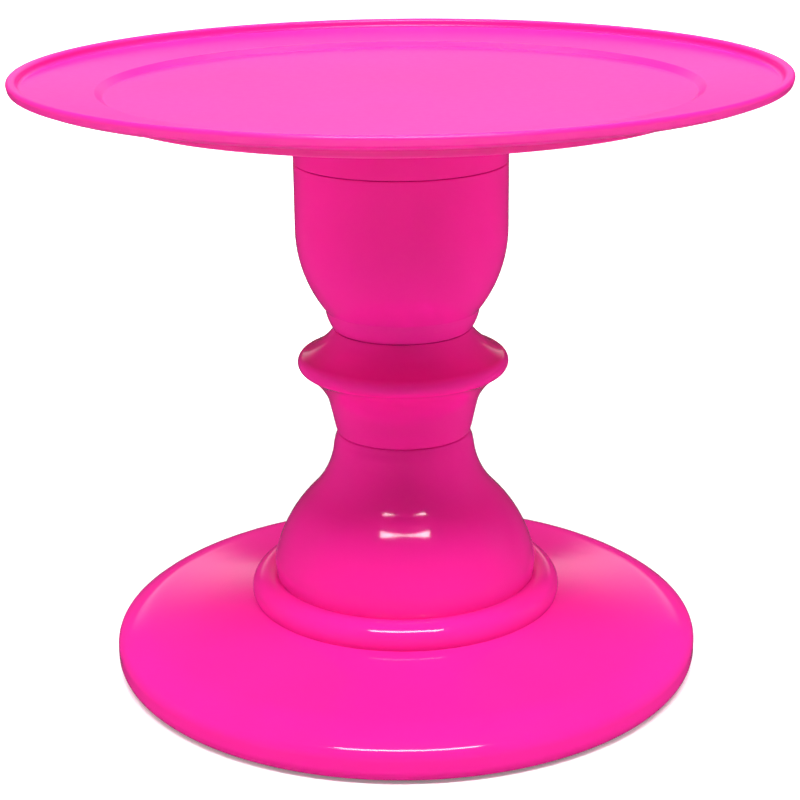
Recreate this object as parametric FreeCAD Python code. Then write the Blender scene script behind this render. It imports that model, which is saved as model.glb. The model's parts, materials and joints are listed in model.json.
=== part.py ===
"""Pedestal cake turntable, moulded in plastic. Its plate turns on a ball ring and lifts off its spindle.

Frame: +Z up, origin on the table in the middle of the base. Millimetres.

From the table up there is a wide base on rubber feet, a hollow column of three turned modules (the base's own
bell, a ringed knob and a cup), and a dished plate on a collar. A steel tie rod runs up through the modules into
the spindle. Its nut under the base pulls the spindle's flange down on the bearing carrier, which clamps the
whole column. The plate's collar rests on a thrust ball ring that lies on the carrier, and the bush in the
plate's hub runs on the spindle.
"""
import FreeCAD, Part
import math
import os

from FreeCAD import Vector

# ---- base: every height is the rise from the point below it ---------------------------------------------------
foot_proud = 0.5            # how far the rubber feet stand below the base's rim
base_radius = 120.6
base_rim_rounding = 6.0     # the rim's outer lower edge
rim_land = 0.6              # flat ring between that rounding and the base's bore
base_face_height = 8.6      # from the rim up to where the upright face turns into the rolled edge
base_face_run = 0.3         # how far the face has drawn in there
base_roll_height = 7.4      # of the rolled edge
base_roll_run = 6.0
flare_top_height = 26.8     # from the rim up to the crease where the flare meets the ring bead
bead_radius = 7.0           # section of the ring bead round the foot of the bell
bead_centre_radius = 57.0
bead_centre_rise = 3.0
bead_crown_turn = 60.0      # degrees up the section, a point that its round passes through
bell_foot_radius = 52.2
bell_foot_rise = 4.5
bell_radius = 54.2
bell_widest_rise = 7.7
bell_turn_radius = 39.0     # where the bell's outline turns from full to hollow
bell_turn_rise = 28.3
bell_throat_radius = 29.1
bell_throat_rise = 18.2
neck_rise = 8.6
base_roll_sag = 1.69        # each sag is how far an arc stands off its chord
flare_sag = 0.3
bell_foot_sag = 0.6
bell_full_sag = 2.3
bell_hollow_sag = 1.55
neck_sag = 0.2

# ---- knob module -------------------------------------------------------------------------------------------------
lower_pinch_radius = 27.4   # the seam between the base and the knob module
knob_waist_radius = 30.65
knob_waist_rise = 14.3
knob_nose_proud = 0.3       # how far the nose stands out past the cup's side
knob_nose_rise = 15.1
knob_nose_rounding = 3.85
knob_nose_over_turn = 74.0  # degrees of the nose's round above its tip
knob_nose_under_turn = 65.0 # and below it
knob_top_rise = 14.0
knob_neck_sag = 0.1
knob_under_sag = 1.2
knob_top_sag = 1.1

# ---- cup module --------------------------------------------------------------------------------------------------
upper_pinch_radius = 27.75  # the seam between the knob module and the cup
cup_bead_radius = 31.1
cup_bead_rise = 8.3
cup_bead_sag = 0.55
cup_belly_rise = 32.7       # up to where the side turns straight
cup_radius = 42.35
cup_straight_rise = 26.6
seam_rounding = 0.5         # on both sides of the turning joint's seam

# ---- plate -------------------------------------------------------------------------------------------------------
running_gap = 0.6           # between the cup's rim and the plate's collar
collar_height = 24.8
plate_radius = 150.0
plate_wall = 2.8
lip_width = 4.2
lip_height = 3.4            # above the outer edge of the plate's border
lip_rounding = 1.5
lip_face_height = 3.9       # of the lip's upright outer face
lip_under_run = 5.0         # of the sloping face below it
lip_under_wall = 2.1        # at that slope's inner end
lip_under_rounding = 1.4
border_width = 27.3
border_fall = 2.9           # from the lip in to the well
border_rounding = 3.2
well_depth = 2.3
well_wall_run = 6.0
well_rounding = 1.6
ring_rib_inset = 2.2        # stiffening ring under the plate, measured in from the well's edge
ring_rib_wall = 2.4
ring_rib_drop = 2.35        # below the floor's underside
ring_rib_rounding = 0.8
plate_rib_count = 12
plate_rib_width = 2.0
plate_rib_drop = 1.6
plate_rib_gap = 1.0         # between the collar and the ribs' ends

# ---- walls, joints between modules and fits ------------------------------------------------------------------------
module_wall = 2.8
base_wall = 3.0
deck = 3.0                  # thickness of the modules' decks
shoulder_width = 3.3        # each module stands on the shoulder round the spigot of the one below
spigot_wall = 4.0
spigot_height = 4.0
spigot_clearance = 0.2
spigot_end_gap = 1.0
thread_clearance = 0.05     # round every screw and rod in its hole
rod_passage_radius = 4.5    # through the modules' decks
crease_limit = 1.2          # a crease's wall is at most this many walls thick

# ---- bearing carrier and ball ring ---------------------------------------------------------------------------------
carrier_recess = 1.7        # the carrier's face below the cup's rim
carrier_thickness = 3.0
carrier_clearance = 0.2
carrier_hub_radius = 10.5
carrier_hub_drop = 7.0      # below the carrier's disc
carrier_rib_count = 8
carrier_rib_width = 2.0
carrier_rib_drop = 4.0
carrier_skirt_gap = 1.0     # between the carrier's skirt and the cup's screw bosses
ledge_width = 2.4
ledge_height = 3.0

ball_radius = 3.0
ball_count = 18
ball_play = 0.05
race_half_width = 4.5
race_thickness = 3.0
race_floor = 1.4            # steel left under the groove
race_clearance = 0.15       # round the lips that centre the races
race_lip_wall = 2.0
race_lip_height = 1.8
cage_thickness = 2.4
cage_half_width = 4.3
cage_pocket_clearance = 0.15

# ---- spindle, tie rod and bush ---------------------------------------------------------------------------------------
spindle_radius = 6.0
spindle_flange_radius = 10.5
spindle_flange_thickness = 3.0
spindle_flange_rounding = 0.5
spindle_top_gap = 2.6       # under the plate's floor
spindle_thread_end = 1.4    # beyond its nut
spindle_bore_depth = 25.0
spindle_chamfer = 1.2
spindle_running_clearance = 0.06
spindle_nut_flats = 18.0
spindle_nut_height = 6.0
washer_thickness = 1.6
washer_radius = 12.0        # of both flat washers
bush_wall = 2.4
bush_flange_radius = 10.0
bush_flange_thickness = 1.5
bush_flange_rounding = 0.4
bush_end_gap = 1.0          # below the plate's floor
hub_radius = 11.0
hub_end_gap = 1.6           # the hub ends this far above the collar web's lower face
hub_web_gap = 2.0           # between the hub and the hole in the collar's web
rod_radius = 4.0
rod_bevel = 0.8
rod_end_gap = 1.0           # at the top of the spindle's bore
rod_stub = 3.5              # below the nut
rod_seat_height = 22.0      # from the rim up to the tube's lower end, which the base washer bears on
rod_tube_wall = 4.0
rod_nut_flats = 13.0
rod_nut_height = 6.5
spring_washer_radius = 7.0
spring_washer_thickness = 2.0
spring_washer_slot = 1.6

# ---- collar and its screws -------------------------------------------------------------------------------------------
collar_wall = 2.8
collar_web = 3.0
screw_radius = 1.75
screw_head_radius = 3.3
screw_head_height = 2.2
screw_hole_clearance = 0.15
screw_head_gap = 0.3        # between the screw heads and the races
boss_radius = 4.2
boss_wall_gap = 0.6         # between the screw bosses and the wall round them
boss_floor = 2.0            # left beyond the end of a screw
pilot_spare = 0.5           # a pilot hole is this much deeper than its screw reaches
gusset_overlap = 1.0        # how far a gusset runs into the hub and the boss that it joins
collar_screw_count = 6
collar_screw_length = 14.0
carrier_screw_count = 4
carrier_screw_length = 14.0

# ---- feet and the base's ribs ------------------------------------------------------------------------------------------
foot_count = 6
foot_inset = 20.6           # from the base's edge to the middle of a foot
foot_radius = 7.2
foot_thickness = 4.0
foot_rounding = 1.0
foot_socket_clearance = 0.2
foot_boss_wall = 1.8
foot_boss_gap = 0.7         # from the rim's level up to the boss's lower face
foot_sink_depth = 2.4       # the screw's head lies in a sink
foot_screw_radius = 1.5
foot_screw_head_radius = 3.0
foot_screw_head_height = 1.5
foot_screw_length = 11.0
base_rib_width = 2.4
base_rib_bottom = 8.5       # above the rim
base_rib_height = 25.5
nut_room_radius = 15.0      # kept clear of ribs round the nut

# ---- proportions that every fastener shares ------------------------------------------------------------------------------
screw_tip = 0.6             # length of the point, in radii
screw_tip_flat = 0.3        # radius of its end, in radii
head_dome = 0.7             # rounding of a pan head, in head heights
recess_length = 1.2         # cross recess, in head radii
recess_width = 0.4          # in screw radii
recess_depth = 0.5          # in head heights
nut_bevel = 0.7             # bevel of a nut's corners, in corner overhangs
nut_bevel_run = 1.5         # how much wider the bevel is than high
longest_trim = 0.45         # a rounding takes at most this share of the side beside it
clear_of_all = 1000.0       # a length or radius that goes past every piece

# ---- heights, from the table up --------------------------------------------------------------------------------------------
rim_z = foot_proud
flare_top_z = rim_z + flare_top_height
bead_z = flare_top_z + bead_centre_rise
bell_foot_z = bead_z + bell_foot_rise
bell_widest_z = bell_foot_z + bell_widest_rise
bell_turn_z = bell_widest_z + bell_turn_rise
bell_throat_z = bell_turn_z + bell_throat_rise
lower_seam_z = bell_throat_z + neck_rise
knob_waist_z = lower_seam_z + knob_waist_rise
knob_nose_z = knob_waist_z + knob_nose_rise
upper_seam_z = knob_nose_z + knob_top_rise
cup_bead_z = upper_seam_z + cup_bead_rise
cup_straight_z = cup_bead_z + cup_belly_rise
cup_top_z = cup_straight_z + cup_straight_rise
collar_foot_z = cup_top_z + running_gap
floor_under_z = collar_foot_z + collar_height
floor_z = floor_under_z + plate_wall
border_inner_z = floor_z + well_depth
border_outer_z = border_inner_z + border_fall
plate_top_z = border_outer_z + lip_height

carrier_z = cup_top_z - carrier_recess
ledge_z = carrier_z - carrier_thickness
carrier_hub_z = ledge_z - carrier_hub_drop
spindle_nut_z = carrier_hub_z - washer_thickness - spindle_nut_height
spindle_foot_z = spindle_nut_z - spindle_thread_end
spindle_top_z = floor_under_z - spindle_top_gap
ball_z = carrier_z + race_floor + ball_radius + ball_play
race_top_z = ball_z + ball_radius + ball_play + race_floor
web_top_z = race_top_z + collar_web
hub_z = race_top_z + hub_end_gap
rod_top_z = spindle_foot_z + spindle_bore_depth - rod_end_gap
rod_seat_z = rim_z + rod_seat_height
spring_washer_z = rod_seat_z - washer_thickness - spring_washer_thickness
rod_nut_z = spring_washer_z - rod_nut_height
rod_foot_z = rod_nut_z - rod_stub
foot_boss_z = rim_z + foot_boss_gap
base_rib_z = rim_z + base_rib_bottom

# ---- radii -----------------------------------------------------------------------------------------------------------------
lip_inner_radius = plate_radius - lip_width
border_inner_radius = lip_inner_radius - border_width
ring_rib_radius = border_inner_radius - ring_rib_inset
knob_nose_radius = cup_radius + knob_nose_proud
cup_bore_radius = cup_radius - module_wall
ledge_radius = cup_bore_radius - ledge_width
screw_circle_radius = cup_bore_radius - boss_wall_gap - boss_radius
ball_circle_radius = screw_circle_radius - screw_head_radius - screw_head_gap - race_half_width
race_inner_radius = ball_circle_radius - race_half_width
race_outer_radius = ball_circle_radius + race_half_width
race_lip_radius = race_inner_radius - race_clearance
journal_bore_radius = spindle_radius + spindle_running_clearance
bush_radius = journal_bore_radius + bush_wall
rod_hole_radius = rod_radius + thread_clearance
foot_circle_radius = base_radius - foot_inset
foot_socket_radius = foot_radius + foot_socket_clearance
mouth_height = spigot_height + spigot_end_gap

Z_AXIS = Vector(0, 0, 1)
X_AXIS = Vector(1, 0, 0)
ORIGIN = Vector(0, 0, 0)
STRAIGHT = 1e-6
RECESS_ARMS = 4
HEX_SIDES = 6


# ---- drawing helpers -------------------------------------------------------------------------------------------------------
def at(r, z):
    """A point of a half section: r from the axis, at height z."""
    return Vector(r, 0, z)


def on_round(centre, radius, turn):
    """The point of a circle round centre, turn degrees up from level."""
    return centre + at(radius * math.cos(math.radians(turn)), radius * math.sin(math.radians(turn)))


def arc(a, b, sag):
    """The edge from a to b that stands sag to the right of its chord, looking from a to b."""
    if abs(sag) < STRAIGHT:
        return Part.makeLine(a, b)
    along = (b - a).normalize()
    middle = (a + b) * 0.5 + Vector(along.z, 0, -along.x) * sag
    return Part.Arc(a, middle, b).toShape()


def upright_sag(run, rise):
    """The sag of an arc that is upright at one end and has drawn in by the run at the other."""
    radius = (run ** 2 + rise ** 2) / (2 * run)
    return radius * (1 - math.cos(math.asin(rise / radius) / 2))


def round_edge(centre, radius, start, end):
    """The arc of a circle round centre from one turn to another, in degrees up from level."""
    return Part.Arc(on_round(centre, radius, start), on_round(centre, radius, (start + end) / 2),
                    on_round(centre, radius, end)).toShape()


def rounded_corner(before, corner, after, rounding):
    """Start, middle and end of a rounding, which is smaller where the sides beside it are short."""
    to_before = before - corner
    to_after = after - corner
    half = to_before.getAngle(to_after) / 2
    longest = longest_trim * min(to_before.Length, to_after.Length)
    cut = min(rounding / math.tan(half), longest)
    start = corner + to_before.normalize() * cut
    end = corner + to_after.normalize() * cut
    centre_distance = cut / math.cos(half)
    inward_way = ((start + end) * 0.5 - corner).normalize()
    middle = corner + inward_way * (centre_distance - cut * math.tan(half))
    return start, middle, end


def polygon(points):
    """Closed outline of (r, z) corners, or (r, z, rounding) where a corner is rounded."""
    corners = [at(point[0], point[1]) for point in points]
    edges = []
    ends = []
    for i, point in enumerate(points):
        if len(point) == 2:
            ends.append((corners[i], corners[i]))
            continue
        start, middle, end = rounded_corner(
            corners[i - 1], corners[i], corners[(i + 1) % len(corners)], point[2])
        edges.append(Part.Arc(start, middle, end).toShape())
        ends.append((start, end))
    for i, (start, end) in enumerate(ends):
        edges.append(Part.makeLine(end, ends[(i + 1) % len(ends)][0]))
    return Part.Wire(Part.__sortEdges__(edges))


def lathe(wire):
    """The solid that a closed half section sweeps round the axis."""
    return Part.Face(wire).revolve(ORIGIN, Z_AXIS, 360)


def disc(radius, low, high):
    return Part.makeCylinder(radius, high - low, at(0, low))


def tube(outer, inner, low, high):
    return disc(outer, low, high).cut(disc(inner, low, high))


def pin(radius, low, high, out):
    """Upright round pin or hole, at a distance out along +X."""
    return Part.makeCylinder(radius, high - low, at(out, low))


def radial_plate(width, inner, outer, low, high):
    """Upright plate that runs out along +X."""
    return Part.makeBox(outer - inner, width, high - low, Vector(inner, -width / 2, low))


def slab(low, high):
    """Everything between two heights."""
    return disc(clear_of_all, low, high)


def ring_of(shape, count, start=0.0):
    """Copies of a shape, evenly spaced round the axis."""
    copies = []
    for i in range(count):
        copy = shape.copy()
        copy.rotate(ORIGIN, Z_AXIS, start + i * 360.0 / count)
        copies.append(copy)
    return copies


def placed(shape, out, height):
    """A copy of a shape that is drawn on the axis, moved out along +X and up."""
    copy = shape.copy()
    copy.translate(at(out, height))
    return copy


def fuse(first, others):
    return first.fuse(others).removeSplitter()


# ---- hollow modules ----------------------------------------------------------------------------------------------------------
def closed_side(edges):
    """The half section between the axis and an outline that is drawn from its foot to its top."""
    foot = edges[0].Vertexes[0].Point
    top = edges[-1].Vertexes[-1].Point
    back = [
        Part.makeLine(top, at(0, top.z)),
        Part.makeLine(at(0, top.z), at(0, foot.z)),
        Part.makeLine(at(0, foot.z), foot),
    ]
    return Part.Wire(edges + back)


def inward(edge, share):
    """Unit vector square into the wall, at a share of the way along an edge of an outline."""
    first, last = edge.ParameterRange
    along = edge.tangentAt(first + (last - first) * share)
    return Vector(-along.z, 0, along.x)


def inset(edges, wall):
    """An outline moved in by the wall. Its corners are mitred, up to crease_limit."""
    corners = []
    for i in range(len(edges) + 1):
        before = inward(edges[max(i - 1, 0)], 1 if i > 0 else 0)
        after = inward(edges[i], 0) if i < len(edges) else before
        corner = edges[i].Vertexes[0].Point if i < len(edges) else edges[-1].Vertexes[-1].Point
        middle = (before + after).normalize()
        corners.append(corner + middle * wall * min(1 / middle.dot(before), crease_limit))
    moved = []
    for edge, start, end in zip(edges, corners, corners[1:]):
        first, last = edge.ParameterRange
        through = edge.valueAt((first + last) / 2) + inward(edge, 0.5) * wall
        if isinstance(edge.Curve, Part.Line):
            moved.append(Part.makeLine(start, end))
        else:
            moved.append(Part.Arc(start, through, end).toShape())
    return moved


def room_inside(edges, wall):
    """What is left inside an outline when its wall is taken off."""
    return lathe(closed_side(inset(edges, wall)))


def spigot_radius(pinch_radius):
    return pinch_radius - shoulder_width


def spigot(pinch_radius, shoulder_z):
    """The ring on a module's deck that the next module stands round."""
    radius = spigot_radius(pinch_radius)
    return tube(radius, radius - spigot_wall, shoulder_z - deck, shoulder_z + spigot_height)


def mouth(pinch_radius, foot_z):
    """The room in a module's foot for the spigot below it."""
    return disc(spigot_radius(pinch_radius) + spigot_clearance, foot_z, foot_z + mouth_height)


def base_side(cored):
    """Outline of the base: rolled edge, flare, ring bead and bell. Cored, it leaves the ring bead solid."""
    rim_round = at(base_radius - base_rim_rounding, rim_z + base_rim_rounding)
    face_foot = on_round(rim_round, base_rim_rounding, 0)
    face_top = at(base_radius - base_face_run, rim_z + base_face_height)
    roll_top = face_top + at(-base_roll_run, base_roll_height)
    bead = at(bead_centre_radius, bead_z)
    start_turn = -math.degrees(math.asin(bead_centre_rise / bead_radius))
    flare_top = on_round(bead, bead_radius, start_turn)
    bell_foot = at(bell_foot_radius, bell_foot_z)
    if cored:
        bead_edge = Part.makeLine(flare_top, bell_foot)
    else:
        bead_edge = Part.Arc(flare_top, on_round(bead, bead_radius, bead_crown_turn), bell_foot).toShape()
    widest = at(bell_radius, bell_widest_z)
    turn = at(bell_turn_radius, bell_turn_z)
    throat = at(bell_throat_radius, bell_throat_z)
    return [
        round_edge(rim_round, base_rim_rounding, -90, 0),
        arc(face_foot, face_top, upright_sag(base_face_run, base_face_height - base_rim_rounding)),
        arc(face_top, roll_top, base_roll_sag),
        arc(roll_top, flare_top, -flare_sag),
        bead_edge,
        arc(bell_foot, widest, bell_foot_sag),
        arc(widest, turn, bell_full_sag),
        arc(turn, throat, -bell_hollow_sag),
        arc(throat, at(lower_pinch_radius, lower_seam_z), neck_sag),
    ]


def knob_side():
    """Outline of the knob module: flared neck, rounded nose and hollow top slope."""
    nose = at(knob_nose_radius - knob_nose_rounding, knob_nose_z)
    under = on_round(nose, knob_nose_rounding, -knob_nose_under_turn)
    over = on_round(nose, knob_nose_rounding, knob_nose_over_turn)
    waist = at(knob_waist_radius, knob_waist_z)
    return [
        arc(at(lower_pinch_radius, lower_seam_z), waist, -knob_neck_sag),
        arc(waist, under, -knob_under_sag),
        round_edge(nose, knob_nose_rounding, -knob_nose_under_turn, knob_nose_over_turn),
        arc(over, at(upper_pinch_radius, upper_seam_z), -knob_top_sag),
    ]


def cup_side():
    """Outline of the cup: small bead at its foot, belly that meets the straight side smoothly, rim."""
    bead = at(cup_bead_radius, cup_bead_z)
    straight = at(cup_radius, cup_straight_z)
    rim_round = at(cup_radius - seam_rounding, cup_top_z - seam_rounding)
    return [
        arc(at(upper_pinch_radius, upper_seam_z), bead, cup_bead_sag),
        arc(bead, straight, upright_sag(cup_radius - cup_bead_radius, cup_belly_rise)),
        Part.makeLine(straight, on_round(rim_round, seam_rounding, 0)),
        round_edge(rim_round, seam_rounding, 0, 90),
    ]


# ---- fasteners -----------------------------------------------------------------------------------------------------------------
def pan_head_screw(radius, head_radius, head_height, length):
    """Screw on the axis that points up, with its head's seat at height 0 and a cross recess in the head."""
    body = lathe(polygon([
        (0, -head_height),
        (head_radius, -head_height, head_height * head_dome),
        (head_radius, 0),
        (radius, 0),
        (radius, length - radius * screw_tip),
        (radius * screw_tip_flat, length),
        (0, length),
    ]))
    half = head_radius * recess_length / 2
    slot = radial_plate(radius * recess_width, 0, half, -head_height, -head_height * (1 - recess_depth))
    return body.cut(ring_of(slot, RECESS_ARMS))


def hex_nut(flats, height, bore, low):
    """Hexagon nut with bevelled corners."""
    corner = flats / math.sqrt(3)
    turns = [math.tau * i / HEX_SIDES for i in range(HEX_SIDES + 1)]
    outline = Part.makePolygon([Vector(corner * math.cos(t), corner * math.sin(t), low) for t in turns])
    bevel = (corner - flats / 2) * nut_bevel
    keep = lathe(polygon([
        (0, low),
        (corner - bevel * nut_bevel_run, low),
        (corner, low + bevel),
        (corner, low + height - bevel),
        (corner - bevel * nut_bevel_run, low + height),
        (0, low + height),
    ]))
    return Part.Face(outline).extrude(at(0, height)).common(keep).cut(disc(bore, low, low + height))


# ---- base and what is fixed to it --------------------------------------------------------------------------------------------------
def base_shell():
    solid = lathe(closed_side(base_side(cored=False)))
    rim_bore = base_radius - base_rim_rounding - rim_land
    room = room_inside(base_side(cored=True)[1:], base_wall).common(disc(rim_bore, rim_z, lower_seam_z - deck))
    open_foot = disc(rim_bore, rim_z, rim_z + base_rim_rounding)
    rod_tube = disc(rod_passage_radius + rod_tube_wall, rod_seat_z, lower_seam_z)
    rib = radial_plate(base_rib_width, 0, base_radius, base_rib_z, base_rib_z + base_rib_height)
    rib = rib.cut(disc(nut_room_radius, rim_z, rod_seat_z))
    boss = pin(foot_socket_radius + foot_boss_wall, foot_boss_z, flare_top_z, foot_circle_radius)
    ribs = [part.common(solid) for part in ring_of(rib, foot_count, 180.0 / foot_count)]
    bosses = [part.common(solid) for part in ring_of(boss, foot_count)]
    shell = fuse(solid.cut([room, open_foot]),
                 [rod_tube, spigot(lower_pinch_radius, lower_seam_z)] + ribs + bosses)
    socket = pin(foot_socket_radius, 0, foot_thickness, foot_circle_radius)
    pilot = pin(foot_screw_radius + thread_clearance, foot_thickness,
                foot_sink_depth + foot_screw_length + pilot_spare, foot_circle_radius)
    passage = disc(rod_passage_radius, 0, lower_seam_z + spigot_height)
    return shell.cut([passage] + ring_of(socket, foot_count) + ring_of(pilot, foot_count))


def rubber_feet():
    """Round pads pressed up into the base's sockets, each with a sink for its screw's head."""
    hole_radius = foot_screw_radius + screw_hole_clearance
    sink_radius = foot_screw_head_radius + screw_hole_clearance
    pad = lathe(polygon([
        (hole_radius, foot_thickness),
        (hole_radius, foot_sink_depth),
        (sink_radius, foot_sink_depth),
        (sink_radius, 0),
        (foot_radius, 0, foot_rounding),
        (foot_radius, foot_thickness),
    ]))
    return Part.makeCompound(ring_of(placed(pad, foot_circle_radius, 0), foot_count))


def foot_screws():
    screw = pan_head_screw(foot_screw_radius, foot_screw_head_radius, foot_screw_head_height, foot_screw_length)
    return Part.makeCompound(ring_of(placed(screw, foot_circle_radius, foot_sink_depth), foot_count))


def tie_rod():
    return lathe(polygon([
        (0, rod_foot_z),
        (rod_radius - rod_bevel, rod_foot_z),
        (rod_radius, rod_foot_z + rod_bevel),
        (rod_radius, rod_top_z - rod_bevel),
        (rod_radius - rod_bevel, rod_top_z),
        (0, rod_top_z),
    ]))


def base_washer():
    return tube(washer_radius, rod_hole_radius, rod_seat_z - washer_thickness, rod_seat_z)


def spring_washer():
    """Split washer, drawn flat, as it lies when the nut is tight."""
    top_z = spring_washer_z + spring_washer_thickness
    slot = radial_plate(spring_washer_slot, 0, spring_washer_radius, spring_washer_z, top_z)
    return tube(spring_washer_radius, rod_hole_radius, spring_washer_z, top_z).cut(slot)


def rod_nut():
    return hex_nut(rod_nut_flats, rod_nut_height, rod_hole_radius, rod_nut_z)


# ---- modules above the base ----------------------------------------------------------------------------------------------------------
def knob_module():
    side = knob_side()
    room = room_inside(side, module_wall).common(slab(lower_seam_z + mouth_height, upper_seam_z - deck))
    shell = lathe(closed_side(side)).cut([room, mouth(lower_pinch_radius, lower_seam_z)])
    passage = disc(rod_passage_radius, lower_seam_z, upper_seam_z + spigot_height)
    return fuse(shell, [spigot(upper_pinch_radius, upper_seam_z)]).cut(passage)


def cup_module():
    side = cup_side()
    deck_z = upper_seam_z + mouth_height
    room = room_inside(side[:-1], module_wall).common(slab(deck_z + deck, cup_top_z))
    open_mouth = disc(cup_bore_radius, cup_straight_z, cup_top_z)
    shell = lathe(closed_side(side)).cut([room, open_mouth, mouth(upper_pinch_radius, upper_seam_z)])
    into_wall = cup_bore_radius + module_wall / 2
    ledge = lathe(polygon([
        (into_wall, ledge_z - ledge_height - ledge_width),
        (cup_bore_radius, ledge_z - ledge_height - ledge_width),
        (ledge_radius, ledge_z - ledge_height),
        (ledge_radius, ledge_z),
        (into_wall, ledge_z),
    ]))
    screw_end_z = carrier_z - carrier_screw_length
    boss = pin(boss_radius, screw_end_z - boss_floor, ledge_z, screw_circle_radius)
    web = radial_plate(base_rib_width, screw_circle_radius, into_wall, screw_end_z - boss_floor, ledge_z)
    pilot = pin(screw_radius + thread_clearance, screw_end_z - pilot_spare, ledge_z, screw_circle_radius)
    turn = 180.0 / carrier_screw_count
    shell = fuse(shell, [ledge] + ring_of(boss.fuse(web), carrier_screw_count, turn))
    passage = disc(rod_passage_radius, upper_seam_z, deck_z + deck)
    return shell.cut([passage] + ring_of(pilot, carrier_screw_count, turn))


# ---- bearing ---------------------------------------------------------------------------------------------------------------------------
def bearing_carrier():
    """The disc that closes the cup. The lower race lies on it, and the spindle stands in its hub."""
    skirt_radius = screw_circle_radius - boss_radius - carrier_skirt_gap
    skirt_z = ledge_z - carrier_rib_drop
    body = disc(cup_bore_radius - carrier_clearance, ledge_z, carrier_z)
    hub = disc(carrier_hub_radius, carrier_hub_z, carrier_z)
    lip = tube(race_lip_radius, race_lip_radius - race_lip_wall, ledge_z, carrier_z + race_lip_height)
    skirt = tube(skirt_radius, skirt_radius - carrier_rib_width, skirt_z, carrier_z)
    rib = radial_plate(carrier_rib_width, 0, skirt_radius - carrier_rib_width / 2, skirt_z, carrier_z)
    body = fuse(body, [hub, lip, skirt] + ring_of(rib, carrier_rib_count))
    hole = pin(screw_radius + screw_hole_clearance, ledge_z, carrier_z, screw_circle_radius)
    bore = disc(spindle_radius + thread_clearance, carrier_hub_z, carrier_z)
    return body.cut([bore] + ring_of(hole, carrier_screw_count, 180.0 / carrier_screw_count))


def carrier_screws():
    """Screws that point down through the carrier into the cup's bosses."""
    screw = pan_head_screw(screw_radius, screw_head_radius, screw_head_height, carrier_screw_length)
    screw.rotate(ORIGIN, X_AXIS, 180)
    screw = placed(screw, screw_circle_radius, carrier_z)
    return Part.makeCompound(ring_of(screw, carrier_screw_count, 180.0 / carrier_screw_count))


def spindle():
    """Turned pin: journal above its flange, threaded shank below it, bored and tapped for the tie rod."""
    flange_top_z = carrier_z + spindle_flange_thickness
    body = lathe(polygon([
        (0, spindle_foot_z),
        (spindle_radius - spindle_chamfer, spindle_foot_z),
        (spindle_radius, spindle_foot_z + spindle_chamfer),
        (spindle_radius, carrier_z),
        (spindle_flange_radius, carrier_z, spindle_flange_rounding),
        (spindle_flange_radius, flange_top_z, spindle_flange_rounding),
        (spindle_radius, flange_top_z),
        (spindle_radius, spindle_top_z - spindle_chamfer),
        (spindle_radius - spindle_chamfer, spindle_top_z),
        (0, spindle_top_z),
    ]))
    return body.cut(disc(rod_hole_radius, spindle_foot_z, spindle_foot_z + spindle_bore_depth))


def spindle_washer():
    return tube(washer_radius, spindle_radius + thread_clearance, carrier_hub_z - washer_thickness, carrier_hub_z)


def spindle_nut():
    return hex_nut(spindle_nut_flats, spindle_nut_height, spindle_radius + thread_clearance, spindle_nut_z)


def race(low, high):
    """Steel ring with a groove that clears the balls by ball_play."""
    groove = Part.makeTorus(ball_circle_radius, ball_radius + ball_play, at(0, ball_z))
    return tube(race_outer_radius, race_inner_radius, low, high).cut(groove)


def lower_race():
    return race(carrier_z, carrier_z + race_thickness)


def upper_race():
    return race(race_top_z - race_thickness, race_top_z)


def ball_cage():
    low = ball_z - cage_thickness / 2
    high = ball_z + cage_thickness / 2
    ring = tube(ball_circle_radius + cage_half_width, ball_circle_radius - cage_half_width, low, high)
    pocket = pin(ball_radius + cage_pocket_clearance, low, high, ball_circle_radius)
    return ring.cut(ring_of(pocket, ball_count))


def bearing_balls():
    return Part.makeCompound(ring_of(Part.makeSphere(ball_radius, at(ball_circle_radius, ball_z)), ball_count))


# ---- plate and what turns with it --------------------------------------------------------------------------------------------------------
def plate_dish():
    """The dished disc: lip, sloping border, flat well, and the stiffening ring under the well's edge."""
    ring_inner = ring_rib_radius - ring_rib_wall
    return lathe(polygon([
        (0, floor_under_z),
        (ring_inner, floor_under_z),
        (ring_inner, floor_under_z - ring_rib_drop, ring_rib_rounding),
        (ring_rib_radius, floor_under_z - ring_rib_drop, ring_rib_rounding),
        (ring_rib_radius, border_inner_z - plate_wall, ring_rib_rounding),
        (plate_radius - lip_under_run, border_outer_z - lip_under_wall, lip_under_rounding),
        (plate_radius, plate_top_z - lip_face_height, lip_under_rounding),
        (plate_radius, plate_top_z, lip_rounding),
        (lip_inner_radius, plate_top_z, lip_rounding),
        (lip_inner_radius, border_outer_z, lip_rounding),
        (border_inner_radius, border_inner_z, border_rounding),
        (border_inner_radius - well_wall_run, floor_z, well_rounding),
        (0, floor_z),
    ]))


def plate():
    """The dish with its hub, screw bosses, gussets and ribs below."""
    into_floor = floor_under_z + plate_wall / 2
    hub = disc(hub_radius, hub_z, into_floor)
    boss = pin(boss_radius, web_top_z, into_floor, screw_circle_radius)
    gusset = radial_plate(plate_rib_width, hub_radius - gusset_overlap,
                          screw_circle_radius - boss_radius + gusset_overlap, web_top_z, into_floor)
    rib = radial_plate(plate_rib_width, cup_radius + plate_rib_gap, ring_rib_radius - ring_rib_wall / 2,
                       floor_under_z - plate_rib_drop, into_floor)
    body = fuse(plate_dish(), [hub] + ring_of(boss, collar_screw_count) + ring_of(gusset, collar_screw_count)
                + ring_of(rib, plate_rib_count))
    pilot = pin(screw_radius + thread_clearance, web_top_z, race_top_z + collar_screw_length + pilot_spare,
                screw_circle_radius)
    return body.cut([disc(bush_radius, hub_z, floor_under_z)] + ring_of(pilot, collar_screw_count))


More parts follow.
